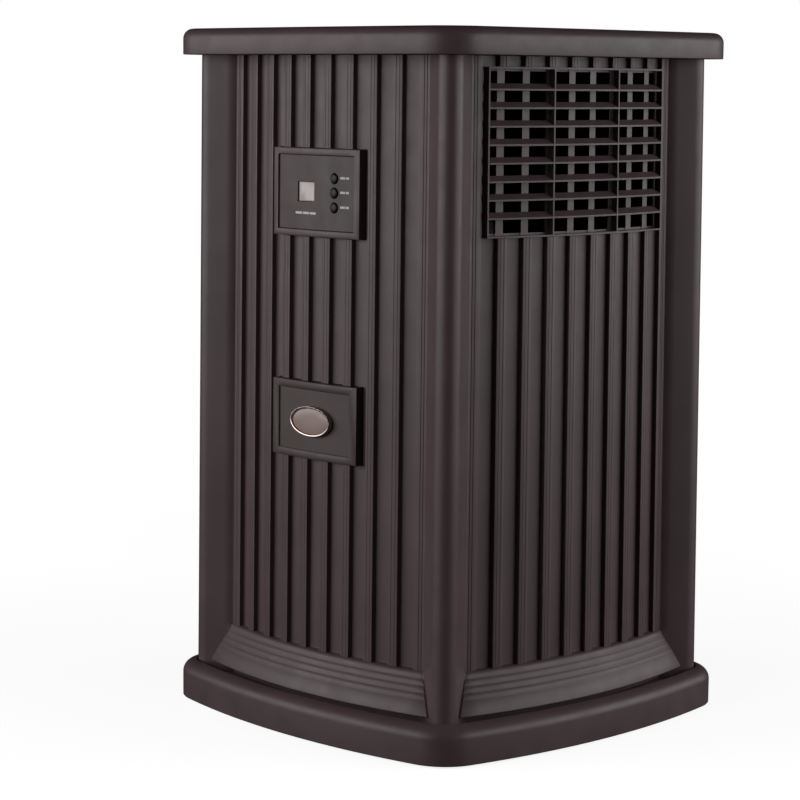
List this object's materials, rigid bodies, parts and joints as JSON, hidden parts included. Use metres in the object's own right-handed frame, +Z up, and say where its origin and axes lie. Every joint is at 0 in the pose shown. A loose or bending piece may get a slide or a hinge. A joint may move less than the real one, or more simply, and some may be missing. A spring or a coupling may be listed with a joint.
{
  "type": "pedestal evaporative humidifier",
  "caption": "Square pedestal humidifier with slatted sides, front control panel, fill drawer, side air outlet grille, lift-off housing, fan deck, wick and water tub.",
  "frame": {"origin": "on the floor, under the middle of the base", "axes": "+Z up; the control panel and the fill drawer face -Y; the air outlet faces +X; the air inlet faces +Y"},
  "size_m": [0.3574, 0.3574, 0.546],
  "materials": {
    "housing_brown": "satin dark brown",
    "plate_brown": "satin dark brown, slightly lighter",
    "black_plastic": "satin black",
    "rubber": "matt black",
    "lens_grey": "light grey display window",
    "steel": "plain steel",
    "badge_silver": "metallised rim",
    "badge_taupe": "plain taupe field",
    "board_green": "green laminate",
    "inner_grey": "matt grey",
    "motor_grey": "grey motor can",
    "wick_paper": "pleated absorbent paper",
    "float_white": "white foam"
  },
  "bodies": {
    "base": {"reservoir_base": "housing_brown", "foot_1": "rubber", "foot_2": "rubber", "foot_3": "rubber", "foot_4": "rubber", "wick": "wick_paper", "wick_cage_front": "inner_grey", "wick_cage_rear": "inner_grey", "float_cage": "inner_grey"},
    "float_body": {"float": "float_white"},
    "chassis": {"chassis_shell": "housing_brown", "top_cap": "housing_brown", "outlet_grille": "housing_brown", "inlet_grille": "housing_brown", "fan_deck": "inner_grey", "motor_bracket": "steel", "fan_motor": "motor_grey", "deck_screw_1": "steel", "deck_screw_2": "steel", "deck_screw_3": "steel", "deck_screw_4": "steel", "bracket_screw_1": "steel", "bracket_screw_2": "steel", "bracket_screw_3": "steel", "bracket_screw_4": "steel", "control_frame": "housing_brown", "control_plate": "plate_brown", "display_lens": "lens_grey", "control_board": "board_green", "tact_switch_1": "black_plastic", "tact_switch_2": "black_plastic", "tact_switch_3": "black_plastic", "cord_gland": "rubber", "drawer_guide": "inner_grey"},
    "fan": {"fan_rotor": "black_plastic", "motor_shaft": "steel", "fan_nut": "steel"},
    "drawer": {"drawer_front": "plate_brown", "drawer_tray": "inner_grey", "badge_rim": "badge_silver", "badge_field": "badge_taupe"},
    "button_a": {"button_1": "black_plastic"},
    "button_b": {"button_2": "black_plastic"},
    "button_c": {"button_3": "black_plastic"}
  },
  "joints": [
    {"name": "chassis_lift", "type": "slide", "parent": "base", "child": "chassis", "axis": [0, 0, 1], "range_m": [0, 0.26]},
    {"name": "float_rise", "type": "slide", "parent": "base", "child": "float_body", "axis": [0, 0, 1], "range_m": [0, 0.03]},
    {"name": "fan_spin", "type": "hinge", "parent": "chassis", "child": "fan", "pos_m": [0, 0, 0.322], "axis": [0, 0, 1], "continuous": true},
    {"name": "drawer_slide", "type": "slide", "parent": "chassis", "child": "drawer", "axis": [0, -1, 0], "range_m": [0, 0.048]},
    {"name": "button_1_press", "type": "slide", "parent": "chassis", "child": "button_a", "axis": [0, 1, 0], "range_m": [0, 0.0009], "stiffness_N_per_m": 400, "springref_m": -0.0008},
    {"name": "button_2_press", "type": "slide", "parent": "chassis", "child": "button_b", "axis": [0, 1, 0], "range_m": [0, 0.0009], "stiffness_N_per_m": 400, "springref_m": -0.0008},
    {"name": "button_3_press", "type": "slide", "parent": "chassis", "child": "button_c", "axis": [0, 1, 0], "range_m": [0, 0.0009], "stiffness_N_per_m": 400, "springref_m": -0.0008}
  ]
}
